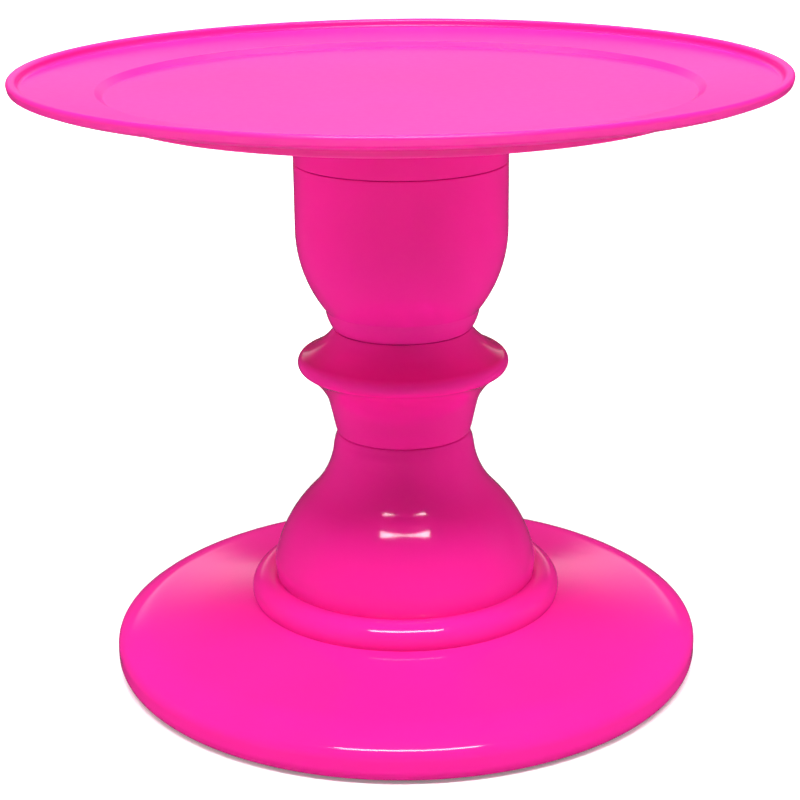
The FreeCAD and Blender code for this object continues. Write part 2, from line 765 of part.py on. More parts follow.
def plate_collar():
    """The collar under the plate. Its web rests on the upper race, and its lip keeps the race centred."""
    inner = cup_radius - collar_wall
    wall = lathe(polygon([
        (inner, collar_foot_z),
        (cup_radius, collar_foot_z, seam_rounding),
        (cup_radius, floor_under_z),
        (inner, floor_under_z),
    ]))
    web = tube(cup_radius - collar_wall / 2, hub_radius + hub_web_gap, race_top_z, web_top_z)
    lip = tube(race_lip_radius, race_lip_radius - race_lip_wall, race_top_z - race_lip_height, web_top_z)
    hole = pin(screw_radius + screw_hole_clearance, race_top_z, web_top_z, screw_circle_radius)
    return fuse(wall, [web, lip]).cut(ring_of(hole, collar_screw_count))


def collar_screws():
    screw = pan_head_screw(screw_radius, screw_head_radius, screw_head_height, collar_screw_length)
    return Part.makeCompound(ring_of(placed(screw, screw_circle_radius, race_top_z), collar_screw_count))


def hub_bush():
    """Flanged bush, pressed up into the plate's hub."""
    flange_z = hub_z - bush_flange_thickness
    return lathe(polygon([
        (journal_bore_radius, flange_z, bush_flange_rounding),
        (bush_flange_radius, flange_z, bush_flange_rounding),
        (bush_flange_radius, hub_z),
        (bush_radius, hub_z),
        (bush_radius, floor_under_z - bush_end_gap),
        (journal_bore_radius, floor_under_z - bush_end_gap),
    ]))


PIECES = [
    base_shell, rubber_feet, foot_screws, tie_rod, base_washer, spring_washer, rod_nut,
    knob_module, cup_module, bearing_carrier, carrier_screws, spindle, spindle_washer, spindle_nut,
    lower_race, ball_cage, bearing_balls, upper_race,
    plate, plate_collar, collar_screws, hub_bush,
]

os.makedirs("parts", exist_ok=True)
for piece in PIECES:
    shape = piece()
    if not shape.isValid() or not shape.Solids:
        raise SystemExit(f"{piece.__name__} is not a valid solid")
    shape.exportStep(f"parts/{piece.__name__}.step")
    print(f"{piece.__name__}: {len(shape.Solids)} solid(s), {shape.Volume / 1000:.1f} cm3")
print(f"overall height {plate_top_z:.1f} mm, plate floor at {floor_z:.1f} mm")
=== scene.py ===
"""Looks of a pedestal cake turntable: pink moulded plastic over a steel ball ring, on rubber feet."""
import json
import math

import bmesh
import bpy
from mathutils import Matrix, Vector


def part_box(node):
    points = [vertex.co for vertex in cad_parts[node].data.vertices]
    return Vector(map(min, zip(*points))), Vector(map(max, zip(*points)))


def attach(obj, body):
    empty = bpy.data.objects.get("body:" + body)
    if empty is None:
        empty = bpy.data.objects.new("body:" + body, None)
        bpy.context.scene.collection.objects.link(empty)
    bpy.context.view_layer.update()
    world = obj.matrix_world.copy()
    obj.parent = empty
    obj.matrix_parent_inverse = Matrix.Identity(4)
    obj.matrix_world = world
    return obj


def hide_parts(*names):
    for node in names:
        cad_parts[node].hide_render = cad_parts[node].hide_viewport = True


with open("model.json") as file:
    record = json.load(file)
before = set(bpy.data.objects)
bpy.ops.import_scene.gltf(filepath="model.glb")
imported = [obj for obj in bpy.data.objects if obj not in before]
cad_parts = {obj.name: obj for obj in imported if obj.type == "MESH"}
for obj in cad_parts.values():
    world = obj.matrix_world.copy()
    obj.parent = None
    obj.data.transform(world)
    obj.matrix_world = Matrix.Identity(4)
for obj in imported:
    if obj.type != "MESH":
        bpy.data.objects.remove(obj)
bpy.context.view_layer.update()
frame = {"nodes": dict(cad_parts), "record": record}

# Sections are drawn in millimetres, (radius, height), and become metres when their mesh is made.
MM = 0.001
TURN_STEPS = 240
SMALL_TURN_STEPS = 48
STRAIGHT_STEP = 6.0         # the most between points along a straight edge
ROUND_STEP = 3.0            # and along a round one
ROUND_TURN = 5.0            # where it is also the most degrees
STRAND = 0.25               # a narrow band of faces beside a crease keeps the wide face by it flat in tone
STRAND_ROOM = 1.5           # an edge no longer than this has no such bands
ROUNDING_SHARE = 0.45       # a rounding takes at most this share of a side
MITRE_LIMIT = 1.2           # a mitred corner's wall is at most this many walls thick
STRAIGHT_LIMIT = 1e-9       # three points flatter than this lie on one line
CREASE = 24.0               # edges sharper than this many degrees stay crisp
MERGE_DISTANCE = 1e-6       # in metres
BEVEL_ANGLE = 1.0           # edges sharper than this, in radians, are softened on the ribs


def low(part):
    """Height of a node's foot, in millimetres."""
    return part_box(part)[0].z / MM


def high(part):
    """Height of its top."""
    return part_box(part)[1].z / MM


def reach(part):
    """How far out it goes."""
    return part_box(part)[1].x / MM


RIM_Z = low("base_shell")
LOWER_SEAM_Z = low("knob_module")
UPPER_SEAM_Z = low("cup_module")
CUP_TOP_Z = high("cup_module")
CARRIER_Z = low("lower_race")
FLOOR_UNDER_Z = high("plate_collar")
RACE_TOP_Z = high("upper_race")
HUB_Z = low("plate")
PLATE_TOP_Z = high("plate")
WASHER_TOP_Z = high("base_washer")
BASE_RADIUS = reach("base_shell")
CUP_RADIUS = reach("plate_collar")
PLATE_RADIUS = reach("plate")

BASE_WALL = 3.0
MODULE_WALL = 2.8
DECK = 3.0
SHOULDER = 3.3              # each module stands on the shoulder round the spigot of the one below
SPIGOT_WALL = 4.0
SPIGOT_HEIGHT = 4.0
MOUTH_HEIGHT = 5.0          # of the bore that takes the spigot
MOUTH_CLEARANCE = 0.2
PASSAGE_RADIUS = 4.5        # for the tie rod
LOWER_PINCH_RADIUS = 27.4
UPPER_PINCH_RADIUS = 27.75
SEAM_ROUNDING = 1.0         # on both edges of a seam, which leaves a fine groove between two modules
COLLAR_GAP = 0.22           # between the cup and the collar that turns over it
CUP_RIM_ROUNDING = 0.5
CARRIER_THICKNESS = 3.0
WEB_TOP_Z = RACE_TOP_Z + 3.0    # of the collar's web, under the plate's bosses


# ---- sections ------------------------------------------------------------------------------------------------
def on_round(centre, radius, turn):
    """Point on a circle, a turn in degrees from its outer side."""
    return (centre[0] + radius * math.cos(math.radians(turn)),
            centre[1] + radius * math.sin(math.radians(turn)))


def line(a, b):
    """An edge is its start, its middle where it is round, and its end."""
    return (a, None, b)


def arc(a, b, sag):
    """Arc from a to b that stands sag to the right of its chord."""
    length = math.dist(a, b)
    middle = ((a[0] + b[0]) / 2 + (b[1] - a[1]) / length * sag,
              (a[1] + b[1]) / 2 - (b[0] - a[0]) / length * sag)
    return (a, middle, b)


def upright_sag(run, rise):
    """Sag of an arc that ends upright."""
    radius = (run ** 2 + rise ** 2) / (2 * run)
    return radius * (1 - math.cos(math.asin(rise / radius) / 2))


def round_edge(centre, radius, start, end):
    """Arc about a centre, between two turns in degrees."""
    return (on_round(centre, radius, start), on_round(centre, radius, (start + end) / 2),
            on_round(centre, radius, end))


def centre_of(edge):
    """Centre of the circle an arc lies on, or None for a straight edge."""
    (ax, ay), middle, (bx, by) = edge
    if middle is None:
        return None
    mx, my = middle
    d = 2 * (ax * (my - by) + mx * (by - ay) + bx * (ay - my))
    if abs(d) < STRAIGHT_LIMIT:
        return None
    a2, m2, b2 = ax * ax + ay * ay, mx * mx + my * my, bx * bx + by * by
    return ((a2 * (my - by) + m2 * (by - ay) + b2 * (ay - my)) / d,
            (a2 * (bx - mx) + m2 * (ax - bx) + b2 * (mx - ax)) / d)


def spots(edge):
    """Points along an edge, without its last one: close on a round, sparse on a straight."""
    a, middle, b = edge
    centre = centre_of(edge)
    if centre is None:
        length = math.dist(a, b)
        count = max(1, math.ceil(length / STRAIGHT_STEP))
        shares = [i / count for i in range(count)]
        if length > STRAND_ROOM:
            shares = [0, STRAND / length] + shares[1:] + [1 - STRAND / length]
        return [(a[0] + (b[0] - a[0]) * s, a[1] + (b[1] - a[1]) * s) for s in shares]
    radius = math.dist(a, centre)
    start, through, end = (math.atan2(p[1] - centre[1], p[0] - centre[0]) for p in (a, middle, b))
    sweep = (end - start) % math.tau
    if (through - start) % math.tau > sweep:
        sweep -= math.tau
    count = max(2, math.ceil(abs(sweep) / math.radians(ROUND_TURN)),
                math.ceil(abs(sweep) * radius / ROUND_STEP))
    return [(centre[0] + radius * math.cos(start + sweep * i / count),
             centre[1] + radius * math.sin(start + sweep * i / count)) for i in range(count)]


def outline(edges):
    """Points of a chain of edges, the last one included."""
    return [p for edge in edges for p in spots(edge)] + [edges[-1][2]]


def rounded(corners):
    """Closed chain of edges through (r, z) corners, or (r, z, rounding) where a corner is rounded."""
    edges, ends = [], []
    for i, corner in enumerate(corners):
        here = corner[:2]
        if len(corner) == 2:
            ends.append((here, None, here))
            continue
        before, after = corners[i - 1][:2], corners[(i + 1) % len(corners)][:2]
        to_before, to_after = math.dist(here, before), math.dist(here, after)
        u = ((before[0] - here[0]) / to_before, (before[1] - here[1]) / to_before)
        v = ((after[0] - here[0]) / to_after, (after[1] - here[1]) / to_after)
        half = math.acos(u[0] * v[0] + u[1] * v[1]) / 2
        cut = min(corner[2] / math.tan(half), ROUNDING_SHARE * min(to_before, to_after))
        depth = cut / math.cos(half) - cut * math.tan(half)
        m = (u[0] + v[0], u[1] + v[1])
        size = math.hypot(*m)
        ends.append(((here[0] + u[0] * cut, here[1] + u[1] * cut),
                     (here[0] + m[0] / size * depth, here[1] + m[1] / size * depth),
                     (here[0] + v[0] * cut, here[1] + v[1] * cut)))
    for i, end in enumerate(ends):
        if end[1] is not None:
            edges.append(end)
        edges.append(line(end[2], ends[(i + 1) % len(ends)][0]))
    return edges


def inward(edge, end):
    """Unit vector into the wall at an edge's start (0), middle (1) or end (2). The wall is on its left."""
    a, middle, b = edge
    length = math.dist(a, b)
    left = (-(b[1] - a[1]) / length, (b[0] - a[0]) / length)
    centre = centre_of(edge)
    if centre is None:
        return left
    spot = edge[end]
    radius = math.dist(spot, centre)
    way = ((centre[0] - spot[0]) / radius, (centre[1] - spot[1]) / radius)
    return way if way[0] * left[0] + way[1] * left[1] > 0 else (-way[0], -way[1])


def inset(edges, wall):
    """A chain of edges moved into the wall, with its corners mitred."""
    corners = []
    for i in range(len(edges) + 1):
        before = inward(edges[max(i - 1, 0)], 2 if i > 0 else 0)
        after = inward(edges[i], 0) if i < len(edges) else before
        corner = edges[i][0] if i < len(edges) else edges[-1][2]
        m = (before[0] + after[0], before[1] + after[1])
        size = math.hypot(*m)
        m = (m[0] / size, m[1] / size)
        depth = wall * min(1 / (m[0] * before[0] + m[1] * before[1]), MITRE_LIMIT)
        corners.append((corner[0] + m[0] * depth, corner[1] + m[1] * depth))
    moved = []
    for edge, start, end in zip(edges, corners, corners[1:]):
        if centre_of(edge) is None:
            moved.append(line(start, end))
        else:
            way = inward(edge, 1)
            moved.append((start, (edge[1][0] + way[0] * wall, edge[1][1] + way[1] * wall), end))
    return moved


def between(points, bottom, top):
    """The part of a rising line of points between two heights, cut exactly at both."""
    kept = []
    for a, b in zip(points, points[1:]):
        for z in (bottom, top):
            if min(a[1], b[1]) < z < max(a[1], b[1]):
                share = (z - a[1]) / (b[1] - a[1])
                kept.append((a[0] + (b[0] - a[0]) * share, z))
        if bottom <= b[1] <= top:
            kept.append(b)
    if bottom <= points[0][1] <= top:
        kept.insert(0, points[0])
    return sorted(set(kept), key=lambda p: p[1])


def eased_top(points, rounding):
    """A rising side with its top corner rounded."""
    radius, top = points[-1]
    corner = round_edge((radius - rounding, top - rounding), rounding, 0, 90)
    return [p for p in points if p[1] < top - rounding] + outline([corner])


def eased_foot(points, rounding):
    """A rising side with its bottom corner rounded."""
    radius, foot = points[0]
    corner = round_edge((radius - rounding, foot + rounding), rounding, -90, 0)
    return outline([corner]) + [p for p in points if p[1] > foot + rounding]


def chain(*points):
    """Straight edges through points."""
    return [line(a, b) for a, b in zip(points, points[1:])]


# ---- outlines of the moulded modules -------------------------------------------------------------------------
RIM_ROUNDING = 6.0
RIM_LAND = 0.6              # flat ring between that rounding and the base's bore
RIM_BORE = BASE_RADIUS - RIM_ROUNDING - RIM_LAND
ROLL_RADIUS = 6.0           # of the rolled edge
ROLL_TURN = 50              # degrees up the roll, where the shoulder takes over
BEAD = (57.0, RIM_Z + 29.8)
BEAD_RADIUS = 7.0
BEAD_RISE = 3.0             # of the bead's centre above the crease where the flare meets it
BEAD_CROWN_TURN = 60
FLARE_TOP = on_round(BEAD, BEAD_RADIUS, -math.degrees(math.asin(BEAD_RISE / BEAD_RADIUS)))
BELL_FOOT_Z = BEAD[1] + 4.5

NOSE_ROUNDING = 3.85
NOSE_PROUD = 0.3            # how far the knob's nose stands out past the cup's side
NOSE_UNDER = -65            # where its round starts, in degrees
NOSE_OVER = 74              # and where it ends


def base_side(cored):
    """Rolled edge, flare, ring bead and bell, from the rim up. Cored, the ring bead is left solid."""
    rim = (BASE_RADIUS - RIM_ROUNDING, RIM_Z + RIM_ROUNDING)
    if cored:
        face_top = (BASE_RADIUS - 0.3, RIM_Z + 8.6)
        flare_foot = (face_top[0] - 6.0, face_top[1] + 7.4)
        edge = [arc(face_top, flare_foot, 1.69)]
        bell_foot = (52.2, BELL_FOOT_Z)
        bell_foot_sag = 0.6
        bead_edge = line(FLARE_TOP, bell_foot)
    else:
        roll = (BASE_RADIUS - ROLL_RADIUS, RIM_Z + 9.4)
        face_top = on_round(roll, ROLL_RADIUS, 0)
        flare_foot = (BASE_RADIUS - 14.3, RIM_Z + 19.7)
        edge = [round_edge(roll, ROLL_RADIUS, 0, ROLL_TURN),
                arc(on_round(roll, ROLL_RADIUS, ROLL_TURN), flare_foot, 0.88)]
        bell_foot = (53.8, BELL_FOOT_Z + 1.75)
        bell_foot_sag = 0.05
        bead_edge = (FLARE_TOP, on_round(BEAD, BEAD_RADIUS, BEAD_CROWN_TURN), bell_foot)
    widest = (54.2, BELL_FOOT_Z + 7.7)
    turn = (39.0, widest[1] + 28.3)
    throat = (29.1, turn[1] + 18.2)
    return [
        round_edge(rim, RIM_ROUNDING, -90, 0),
        line(on_round(rim, RIM_ROUNDING, 0), face_top),
        *edge,
        arc(flare_foot, FLARE_TOP, -0.3),
        bead_edge,
        arc(bell_foot, widest, bell_foot_sag),
        arc(widest, turn, 2.3),
        arc(turn, throat, -1.55),
        arc(throat, (LOWER_PINCH_RADIUS, LOWER_SEAM_Z), 0.2),
    ]


def knob_side():
    """Flared neck, rounded nose and sloping top."""
    waist = (30.65, LOWER_SEAM_Z + 14.3)
    nose = (CUP_RADIUS + NOSE_PROUD - NOSE_ROUNDING, waist[1] + 15.1)
    return [
        arc((LOWER_PINCH_RADIUS, LOWER_SEAM_Z), waist, -0.1),
        arc(waist, on_round(nose, NOSE_ROUNDING, NOSE_UNDER), -1.2),
        round_edge(nose, NOSE_ROUNDING, NOSE_UNDER, NOSE_OVER),
        arc(on_round(nose, NOSE_ROUNDING, NOSE_OVER), (UPPER_PINCH_RADIUS, UPPER_SEAM_Z), -1.1),
    ]


def cup_side():
    """Small bead at the foot, belly, straight side and softened rim."""
    bead = (31.1, UPPER_SEAM_Z + 8.3)
    belly_rise = 32.7
    straight = (CUP_RADIUS, bead[1] + belly_rise)
    rim = (CUP_RADIUS - CUP_RIM_ROUNDING, CUP_TOP_Z - CUP_RIM_ROUNDING)
    return [
        arc((UPPER_PINCH_RADIUS, UPPER_SEAM_Z), bead, 0.55),
        arc(bead, straight, upright_sag(CUP_RADIUS - bead[0], belly_rise)),
        line(straight, on_round(rim, CUP_RIM_ROUNDING, 0)),
        round_edge(rim, CUP_RIM_ROUNDING, 0, 90),
    ]


def base_room():
    """The line of the base's inner wall, from its foot to the deck."""
    wall = between(outline(inset(base_side(cored=True)[1:], BASE_WALL)), RIM_Z, LOWER_SEAM_Z - DECK)
    return [(min(radius, RIM_BORE), height) for radius, height in wall]


def spigot_corners(pinch_radius, seam_z):
    """Corners of the shoulder and the spigot that the module above sits on, in to the rod's passage."""
    spigot = pinch_radius - SHOULDER
    return [
        (spigot, seam_z), (spigot, seam_z + SPIGOT_HEIGHT), (spigot - SPIGOT_WALL, seam_z + SPIGOT_HEIGHT),
        (spigot - SPIGOT_WALL, seam_z), (PASSAGE_RADIUS, seam_z)]


def base_section():
    tube_radius = PASSAGE_RADIUS + SPIGOT_WALL
    room = base_room()
    return (
        eased_top(outline(base_side(cored=False)), SEAM_ROUNDING)
        + outline(chain(
            *spigot_corners(LOWER_PINCH_RADIUS, LOWER_SEAM_Z), (PASSAGE_RADIUS, WASHER_TOP_Z),
            (tube_radius, WASHER_TOP_Z), (tube_radius, LOWER_SEAM_Z - DECK), room[-1]))[:-1]
        + room[::-1]
        + [(RIM_BORE, RIM_Z)]
    )


def knob_section():
    mouth = LOWER_PINCH_RADIUS - SHOULDER + MOUTH_CLEARANCE
    mouth_z = LOWER_SEAM_Z + MOUTH_HEIGHT
    room = between(outline(inset(knob_side(), MODULE_WALL)), mouth_z, UPPER_SEAM_Z - DECK)
    return (
        eased_foot(outline(knob_side())[:-1], SEAM_ROUNDING)
        + outline(chain(
            (UPPER_PINCH_RADIUS, UPPER_SEAM_Z), *spigot_corners(UPPER_PINCH_RADIUS, UPPER_SEAM_Z),
            (PASSAGE_RADIUS, UPPER_SEAM_Z - DECK), room[-1]))[:-1]
        + room[::-1]
        + outline(chain(room[0], (mouth, mouth_z), (mouth, LOWER_SEAM_Z),
                        (LOWER_PINCH_RADIUS - SEAM_ROUNDING, LOWER_SEAM_Z)))[1:-1]
    )


def cup_section():
    bore = CUP_RADIUS - MODULE_WALL
    ledge_width = 2.4
    ledge_z = CARRIER_Z - CARRIER_THICKNESS
    ledge_foot_z = ledge_z - 3.0
    slope_foot_z = ledge_z - 5.4
    mouth = UPPER_PINCH_RADIUS - SHOULDER + MOUTH_CLEARANCE
    mouth_z = UPPER_SEAM_Z + MOUTH_HEIGHT
    room = between(outline(inset(cup_side()[:2], MODULE_WALL)), mouth_z + DECK, slope_foot_z)
    return (
        eased_foot(outline(cup_side())[:-1], SEAM_ROUNDING)
        + outline(chain(
            (CUP_RADIUS - CUP_RIM_ROUNDING, CUP_TOP_Z), (bore, CUP_TOP_Z), (bore, ledge_z),
            (bore - ledge_width, ledge_z), (bore - ledge_width, ledge_foot_z), (bore, slope_foot_z),
            room[-1]))[:-1]
        + room[::-1]
        + outline(chain(
            room[0], (PASSAGE_RADIUS, mouth_z + DECK), (PASSAGE_RADIUS, mouth_z), (mouth, mouth_z),
            (mouth, UPPER_SEAM_Z), (UPPER_PINCH_RADIUS - SEAM_ROUNDING, UPPER_SEAM_Z)))[1:-1]
    )


def collar_section():
    """Straight collar, and its web, with the lip that centres the upper race."""
    inner = CUP_RADIUS - MODULE_WALL
    bore = 13.0
    lip = reach("upper_race") - 9.15
    lip_back = lip - 2.0
    lip_foot_z = RACE_TOP_Z - 1.8
    foot_z = CUP_TOP_Z + COLLAR_GAP
    return outline(rounded([
        (inner, foot_z, 0.4), (CUP_RADIUS, foot_z, 0.3), (CUP_RADIUS, FLOOR_UNDER_Z),
        (inner, FLOOR_UNDER_Z), (inner, WEB_TOP_Z), (bore, WEB_TOP_Z), (bore, RACE_TOP_Z, 0.4),
        (lip_back, RACE_TOP_Z), (lip_back, lip_foot_z, 0.5), (lip, lip_foot_z, 0.5), (lip, RACE_TOP_Z),
        (inner, RACE_TOP_Z, 0.6),
    ]))[:-1]


PLATE_WALL = 2.8
LIP_WIDTH = 4.2
BORDER_WIDTH = 27.3
WELL_EDGE = PLATE_RADIUS - LIP_WIDTH - BORDER_WIDTH
RING_RIB = WELL_EDGE - 2.2


def plate_section():
    """Hub, floor, ring rib, border and lip underneath, then lip, border and well on top."""
    floor_z = FLOOR_UNDER_Z + PLATE_WALL
    border_z = floor_z + 2.3
    rim_z = border_z + 2.9
    bush = 8.46
    hub = 11.0
    rib_back = RING_RIB - 2.4
    rib_foot_z = FLOOR_UNDER_Z - 2.35
    rib_rounding = 0.8
    lip = PLATE_RADIUS - LIP_WIDTH
    rounding = 1.5
    return outline(rounded([
        (0, FLOOR_UNDER_Z), (bush, FLOOR_UNDER_Z), (bush, HUB_Z, 0.3), (hub, HUB_Z, 0.5),
        (hub, FLOOR_UNDER_Z, rib_rounding), (rib_back, FLOOR_UNDER_Z, rib_rounding),
        (rib_back, rib_foot_z, rib_rounding), (RING_RIB, rib_foot_z, rib_rounding),
        (RING_RIB, border_z - PLATE_WALL, rib_rounding),
        (PLATE_RADIUS - 5.0, rim_z - 2.1, 1.4), (PLATE_RADIUS - 0.8, PLATE_TOP_Z - 3.9, 1.4),
        (PLATE_RADIUS, PLATE_TOP_Z, 1.9), (lip, PLATE_TOP_Z, rounding), (lip, rim_z, rounding),
        (WELL_EDGE - 1.5, border_z, rounding), (WELL_EDGE - 4.5, floor_z, rounding), (0, floor_z),
    ]))[:-1]


# ---- node helper and geometry trees --------------------------------------------------------------------------
def node(tree, kind, inputs=None, **settings):
    """Adds a node, sets its properties, and gives its inputs values or links."""
    made = tree.nodes.new(kind)
    for name, value in settings.items():
        setattr(made, name, value)
    for name, value in (inputs or {}).items():
        if isinstance(value, bpy.types.NodeSocket):
            tree.links.new(value, made.inputs[name])
        else:
            made.inputs[name].default_value = value
    return made


def new_tree(name, sizes):
    """A geometry tree with a geometry and a material input, and the named sizes."""
    tree = bpy.data.node_groups.new(name, "GeometryNodeTree")
    tree.interface.new_socket("Geometry", in_out="OUTPUT", socket_type="NodeSocketGeometry")
    tree.interface.new_socket("Geometry", in_out="INPUT", socket_type="NodeSocketGeometry")
    for size, kind in sizes.items():
        tree.interface.new_socket(size, in_out="INPUT", socket_type="NodeSocket" + kind)
    tree.interface.new_socket("Material", in_out="INPUT", socket_type="NodeSocketMaterial")
    return tree, node(tree, "NodeGroupInput")


def close_tree(tree, given, geometry):
    """Ends a tree: creases by angle, real geometry, and the piece's material."""
    smooth = node(tree, "GeometryNodeSetShadeSmooth", {"Geometry": geometry})
    angle = node(tree, "GeometryNodeInputMeshEdgeAngle")
    sharp = node(tree, "FunctionNodeCompare",
                 {0: angle.outputs["Unsigned Angle"], 1: math.radians(CREASE)}, operation="GREATER_THAN")
    creased = node(tree, "GeometryNodeSetShadeSmooth",
                   {"Geometry": smooth.outputs[0], "Selection": sharp.outputs[0], "Shade Smooth": False},
                   domain="EDGE")
    real = node(tree, "GeometryNodeRealizeInstances", {"Geometry": creased.outputs[0]})
    dressed = node(tree, "GeometryNodeSetMaterial",
                   {"Geometry": real.outputs[0], "Material": given.outputs["Material"]})
    node(tree, "NodeGroupOutput", {"Geometry": dressed.outputs[0]})
    return tree


def turning_grid(tree, steps, rows):
    """A grid with a column for each step round: its mesh, and each point's row, share of a turn and angle."""
    columns = node(tree, "FunctionNodeIntegerMath", {0: steps, 1: 1}, operation="ADD").outputs[0]
    grid = node(tree, "GeometryNodeMeshGrid", {"Vertices X": columns, "Vertices Y": rows})
    index = node(tree, "GeometryNodeInputIndex").outputs[0]
    column = node(tree, "FunctionNodeIntegerMath", {0: index, 1: rows}, operation="DIVIDE").outputs[0]
    row = node(tree, "FunctionNodeIntegerMath", {0: index, 1: rows}, operation="MODULO").outputs[0]
    share = node(tree, "ShaderNodeMath", {0: column, 1: steps}, operation="DIVIDE").outputs[0]
    turn = node(tree, "ShaderNodeMath", {0: share, 1: math.tau}, operation="MULTIPLY").outputs[0]
    return grid.outputs["Mesh"], row, share, turn


def swept_round(tree, given, grid, place, turn):
    """Turns each point of a grid to its place round the Z axis, closes the seam and ends the tree."""
    swept = node(tree, "ShaderNodeVectorRotate", {"Vector": place, "Angle": turn}, rotation_type="Z_AXIS")
    moved = node(tree, "GeometryNodeSetPosition", {"Geometry": grid, "Position": swept.outputs[0]})
    merged = node(tree, "GeometryNodeMergeByDistance",
                  {"Geometry": moved.outputs[0], "Distance": MERGE_DISTANCE})
    return close_tree(tree, given, merged.outputs[0])


def turned_section_tree():
    """Sweeps a closed section, whose points come in order, round the Z axis."""
    tree, given = new_tree("turned section", {"Steps": "Int"})
    count = node(tree, "GeometryNodeAttributeDomainSize", {"Geometry": given.outputs["Geometry"]})
    points = count.outputs["Point Count"]
    rows = node(tree, "FunctionNodeIntegerMath", {0: points, 1: 1}, operation="ADD").outputs[0]
    grid, row, share, turn = turning_grid(tree, given.outputs["Steps"], rows)
    around = node(tree, "FunctionNodeIntegerMath", {0: row, 1: points}, operation="MODULO").outputs[0]
    place = node(tree, "GeometryNodeSampleIndex",
                 {"Geometry": given.outputs["Geometry"], "Index": around}, data_type="FLOAT_VECTOR")
    tree.links.new(node(tree, "GeometryNodeInputPosition").outputs[0], place.inputs["Value"])
    return swept_round(tree, given, grid, place.outputs["Value"], turn)


def ring_pattern_tree():
    """Copies one piece evenly round the Z axis."""
    tree, given = new_tree("ring pattern", {"Count": "Int", "Start": "Float"})
    spokes = node(tree, "GeometryNodePoints", {"Count": given.outputs["Count"]})
    index = node(tree, "GeometryNodeInputIndex").outputs[0]
    share = node(tree, "ShaderNodeMath", {0: index, 1: given.outputs["Count"]}, operation="DIVIDE").outputs[0]
    turn = node(tree, "ShaderNodeMath", {0: share, 1: math.tau, 2: given.outputs["Start"]},
                operation="MULTIPLY_ADD").outputs[0]
    spin = node(tree, "ShaderNodeCombineXYZ", {"Z": turn})
    copies = node(tree, "GeometryNodeInstanceOnPoints", {
        "Points": spokes.outputs[0], "Instance": given.outputs["Geometry"], "Rotation": spin.outputs[0]})
    real = node(tree, "GeometryNodeRealizeInstances", {"Geometry": copies.outputs[0]})
    return close_tree(tree, given, real.outputs[0])


def threaded_rod_tree():
    """A rod with a rolled thread: the radius dips once a pitch, and the dip climbs once a turn."""
    tree, given = new_tree("threaded rod", {
        "Steps": "Int", "Rows": "Int", "Radius": "Float", "Low": "Float", "High": "Float",
        "Pitch": "Float", "Thread Depth": "Float", "Bevel": "Float"})
    size = given.outputs
    grid, row, share, turn = turning_grid(tree, size["Steps"], size["Rows"])

    # The first and last rows close the ends. The rows between them climb the rod.
    last = node(tree, "FunctionNodeIntegerMath", {0: size["Rows"], 1: 1}, operation="SUBTRACT").outputs[0]
    top = node(tree, "FunctionNodeIntegerMath", {0: size["Rows"], 1: 2}, operation="SUBTRACT").outputs[0]
    height = node(tree, "ShaderNodeMapRange", {
        "Value": row, "From Min": 1.0, "From Max": top, "To Min": size["Low"], "To Max": size["High"]})
    z = height.outputs[0]

    climbs = node(tree, "ShaderNodeMath", {0: z, 1: size["Pitch"]}, operation="DIVIDE").outputs[0]
    phase = node(tree, "ShaderNodeMath", {0: climbs, 1: share}, operation="SUBTRACT").outputs[0]
    wave = node(tree, "ShaderNodeMath", {0: phase, 1: 0.5}, operation="PINGPONG").outputs[0]
    dip = node(tree, "ShaderNodeMath", {0: wave, 1: 2.0}, operation="MULTIPLY").outputs[0]
    depth = node(tree, "ShaderNodeMath", {0: dip, 1: size["Thread Depth"]}, operation="MULTIPLY").outputs[0]
    crest = node(tree, "ShaderNodeMath", {0: size["Radius"], 1: depth}, operation="SUBTRACT").outputs[0]

    end = node(tree, "ShaderNodeMath", {0: size["Radius"], 1: size["Bevel"]}, operation="SUBTRACT").outputs[0]
    from_low = node(tree, "ShaderNodeMath", {0: z, 1: size["Low"]}, operation="SUBTRACT").outputs[0]
    from_high = node(tree, "ShaderNodeMath", {0: size["High"], 1: z}, operation="SUBTRACT").outputs[0]
    nearest = node(tree, "ShaderNodeMath", {0: from_low, 1: from_high}, operation="MINIMUM").outputs[0]
    beveled = node(tree, "ShaderNodeMath", {0: end, 1: nearest}, operation="ADD").outputs[0]
    side = node(tree, "ShaderNodeMath", {0: crest, 1: beveled}, operation="MINIMUM").outputs[0]

    is_first = node(tree, "FunctionNodeCompare", {"A": row, "B": 0}, data_type="INT", operation="EQUAL")
    is_last = node(tree, "FunctionNodeCompare", {"A": row, "B": last}, data_type="INT", operation="EQUAL")
    cap = node(tree, "FunctionNodeBooleanMath", {0: is_first.outputs[0], 1: is_last.outputs[0]},
               operation="OR")
    radius = node(tree, "GeometryNodeSwitch", {"Switch": cap.outputs[0], "False": side, "True": 0.0},
                  input_type="FLOAT").outputs[0]
    spoke = node(tree, "ShaderNodeCombineXYZ", {"X": radius, "Z": z}).outputs[0]
    return swept_round(tree, given, grid, spoke, turn)


# ---- making pieces -------------------------------------------------------------------------------------------
def new_piece(name, mesh):
    piece = bpy.data.objects.new(name, mesh)
    bpy.context.scene.collection.objects.link(piece)
    return piece


def shaped(piece, tree, **sizes):
    """Runs a geometry tree on a piece and keeps the plain mesh that comes out."""
    modifier = piece.modifiers.new(tree.name, "NODES")
    modifier.node_group = tree
    for item in tree.interface.items_tree:
        if item.in_out == "INPUT" and item.name in sizes:
            modifier[item.identifier] = sizes[item.name]
    graph = bpy.context.evaluated_depsgraph_get()
    mesh = bpy.data.meshes.new_from_object(piece.evaluated_get(graph), depsgraph=graph)
    piece.modifiers.clear()
    piece.data = mesh
    return piece


